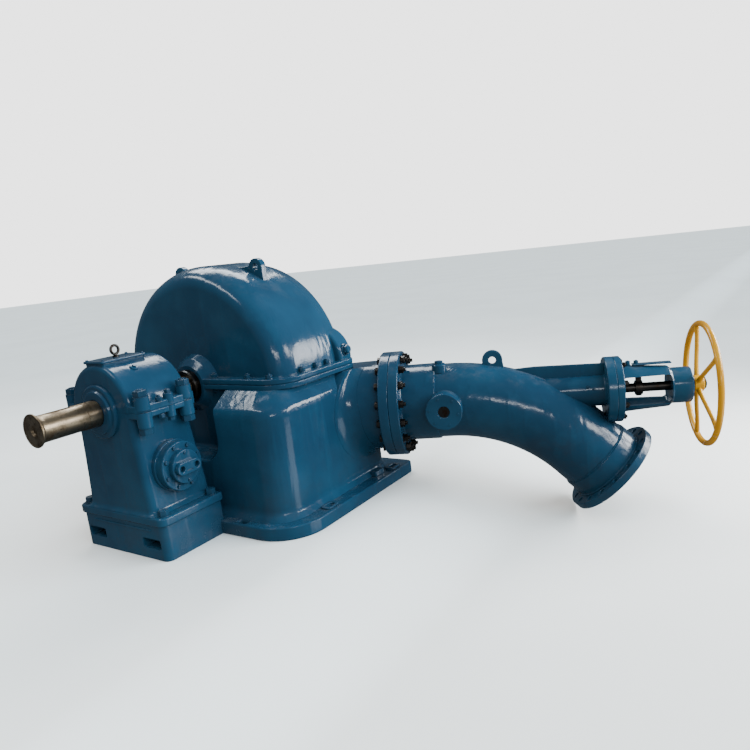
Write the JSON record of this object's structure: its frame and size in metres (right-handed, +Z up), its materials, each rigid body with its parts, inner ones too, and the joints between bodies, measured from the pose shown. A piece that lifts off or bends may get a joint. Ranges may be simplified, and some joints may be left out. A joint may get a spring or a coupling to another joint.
{
  "type": "water turbine",
  "caption": "Inclined-jet water turbine with a bearing pedestal, a casing under a round hood, an inlet bend and a needle nozzle worked by a handwheel.",
  "frame": {"origin": "under the shaft axis, on the underside of the base plate, in the middle of the plate's front strip", "axes": "+Z up; +Y along the shaft, from the bearing pedestal into the casing; +X across the shaft, towards the nozzle and the handwheel"},
  "size_m": [2.6213, 2.0412, 1.2306],
  "materials": {
    "blue_enamel": "gloss machine enamel",
    "ochre_enamel": "gloss enamel",
    "bare_steel": "turned, brown with old oil",
    "dark_steel": "dark and oily",
    "bronze": "cast"
  },
  "bodies": {
    "frame": {"base_plate": "blue_enamel", "casing": "blue_enamel", "casing_neck": "blue_enamel", "hood": "blue_enamel", "hood_lug_left": "blue_enamel", "hood_lug_right": "blue_enamel", "shaft_seal": "bare_steel", "pedestal_base": "blue_enamel", "pedestal_housing": "blue_enamel", "bearing_cap": "blue_enamel", "cap_cover": "blue_enamel", "cap_eyebolt": "dark_steel", "bearing_seal_front": "blue_enamel", "bearing_seal_rear": "blue_enamel", "cooler_ring": "blue_enamel", "cooler_flange": "blue_enamel", "cooler_cover": "blue_enamel", "cooler_manifold": "blue_enamel", "pedestal_bolt_1": "dark_steel", "pedestal_bolt_2": "dark_steel", "pedestal_bolt_3": "dark_steel", "pedestal_bolt_4": "dark_steel", "nozzle_spool": "blue_enamel", "elbow": "blue_enamel", "elbow_lower": "blue_enamel", "elbow_tail": "blue_enamel", "inlet_flange": "blue_enamel", "side_port": "blue_enamel", "side_port_cover": "blue_enamel", "vent_boss": "blue_enamel", "elbow_lug": "blue_enamel", "needle_tube": "blue_enamel", "tube_rib": "blue_enamel", "yoke": "blue_enamel", "jet_nozzle": "bare_steel"},
    "rotor": {"shaft": "bare_steel", "runner": "bronze"},
    "needle": {"spear_rod": "dark_steel", "spindle_pointer": "dark_steel"},
    "wheel": {"handwheel": "ochre_enamel", "wheel_collar": "dark_steel"}
  },
  "joints": [
    {"name": "shaft_spin", "type": "hinge", "parent": "frame", "child": "rotor", "pos_m": [0, 0.48, 0.578], "axis": [0, 1, 0], "continuous": true},
    {"name": "handwheel_turn", "type": "hinge", "parent": "frame", "child": "wheel", "pos_m": [1.85067, 1.19237, 0.375], "axis": [0.9239, 0.3827, 0], "range_deg": [-2700, 3000]},
    {"name": "spear_slide", "type": "slide", "parent": "frame", "child": "needle", "axis": [0.9239, 0.3827, 0], "range_m": [-0.0451, 0.0501]}
  ],
  "couplings": [
    {"joint": "spear_slide", "follows": "handwheel_turn", "m_per_rad": 0.00095493}
  ]
}
